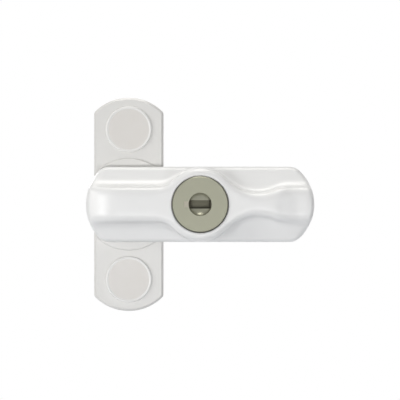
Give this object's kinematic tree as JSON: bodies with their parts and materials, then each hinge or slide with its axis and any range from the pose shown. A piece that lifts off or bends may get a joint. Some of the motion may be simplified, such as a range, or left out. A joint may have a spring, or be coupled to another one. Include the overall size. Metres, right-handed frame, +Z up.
{
  "type": "lockable window restrictor",
  "caption": "Window restrictor: a base plate for the frame, and a key-locked arm that swings over the sash to hold it shut.",
  "frame": {"origin": "on the arm's swing axis, in the plane of the base plate's back face, which lies on the window frame", "axes": "+Y into the window frame, +Z up along the base plate, +X along the closed arm from the swing axis to the sash"},
  "size_m": [0.0786, 0.0198, 0.074],
  "materials": {
    "white_casting": "white powder coat on a zinc casting, satin gloss",
    "white_cap": "moulded white plastic",
    "satin_lock_metal": "satin, warm grey plating",
    "bright_steel": "ground steel",
    "zinc_plated_steel": "zinc plated",
    "spring_steel": "hardened spring steel",
    "wafer_brass": "stamped brass",
    "natural_nylon": "natural nylon",
    "grey_rubber": "moulded, matt"
  },
  "bodies": {
    "base": {"base_plate": "white_casting", "upper_screw_cap": "white_cap", "lower_screw_cap": "white_cap", "indexing_hub": "bright_steel", "disc_spring": "spring_steel", "thrust_washer": "natural_nylon"},
    "arm": {"swing_arm": "white_casting", "pivot_screw": "zinc_plated_steel", "bolt_cover": "zinc_plated_steel", "cover_screws": "zinc_plated_steel", "sash_pad": "grey_rubber", "lock_barrel": "satin_lock_metal", "barrel_clip": "spring_steel"},
    "plug": {"lock_plug": "satin_lock_metal", "lock_wafer_1": "wafer_brass", "lock_wafer_2": "wafer_brass", "lock_wafer_3": "wafer_brass", "lock_wafer_4": "wafer_brass", "wafer_springs": "spring_steel", "crank_disc": "bright_steel", "crank_screw": "zinc_plated_steel"},
    "bolt": {"locking_bolt": "bright_steel"}
  },
  "joints": [
    {"name": "arm_swing", "type": "hinge", "parent": "base", "child": "arm", "pos_m": [0, 0, 0], "axis": [0, -1, 0], "range_deg": [-90, 90]},
    {"name": "lock_turn", "type": "hinge", "parent": "arm", "child": "plug", "pos_m": [0.02475, 0, 0], "axis": [0, -1, 0], "range_deg": [0, 90]},
    {"name": "bolt_slide", "type": "slide", "parent": "arm", "child": "bolt", "axis": [-1, 0, 0], "range_m": [0, 0.00396]}
  ],
  "couplings": [
    {"joint": "lock_turn", "follows": "bolt_slide", "rad_per_m": 396.69}
  ]
}
